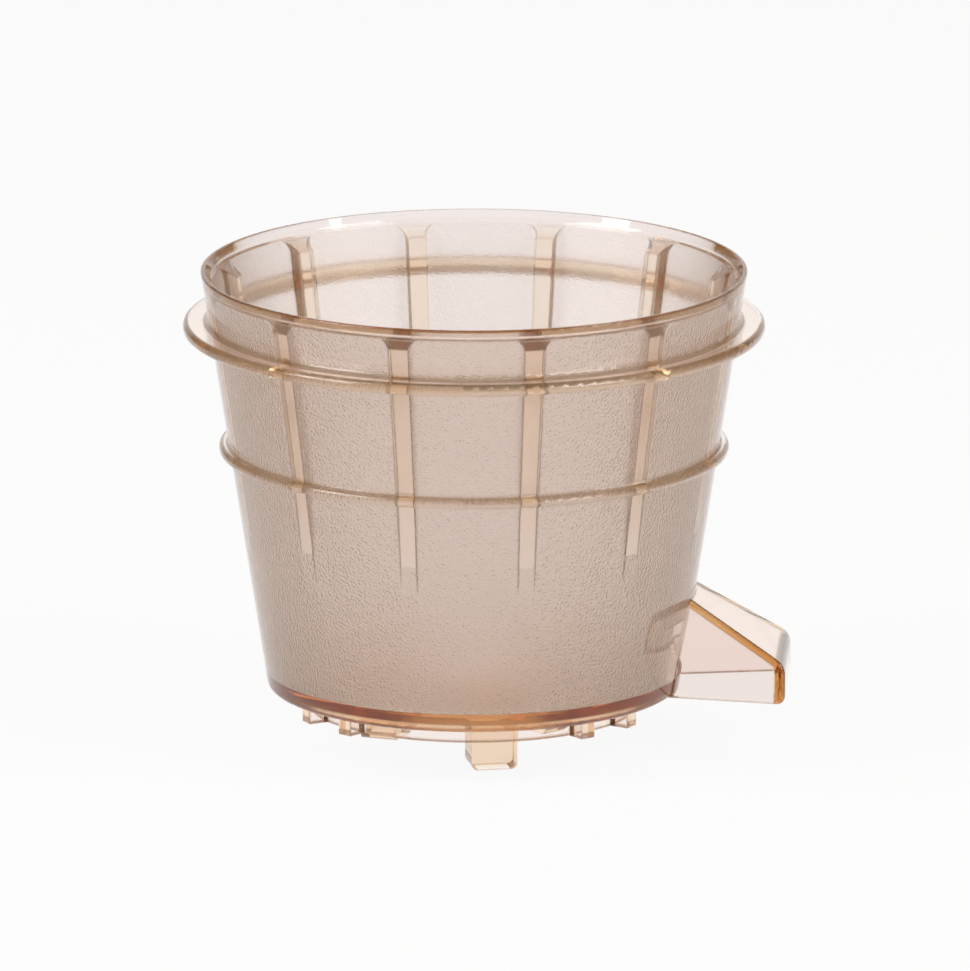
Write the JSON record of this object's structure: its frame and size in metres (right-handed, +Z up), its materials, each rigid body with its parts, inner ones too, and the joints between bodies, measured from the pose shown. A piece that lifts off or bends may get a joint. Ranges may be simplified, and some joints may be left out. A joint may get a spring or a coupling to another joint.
{
  "type": "juicer blank screen",
  "caption": "Clear amber moulded cup for a slow juicer: tapered ribbed wall without strainer holes, rim, flange, bead, floor with a drive bore, locking lugs, legs and a hooded chute.",
  "frame": {"origin": "on the cup's axis, where the drive bore opens downwards in the plane of the skirt's lower edge", "axes": "+Z up along the cup's axis, +X along the chute"},
  "size_m": [0.1331, 0.1278, 0.1072],
  "materials": {
    "clear_amber_moulding": "clear, pale amber polyetherimide, injection moulded; glossy, with a fine matt grain on the panels inside the wall"
  },
  "bodies": {
    "root": {"blank_screen": "clear_amber_moulding"}
  },
  "joints": []
}
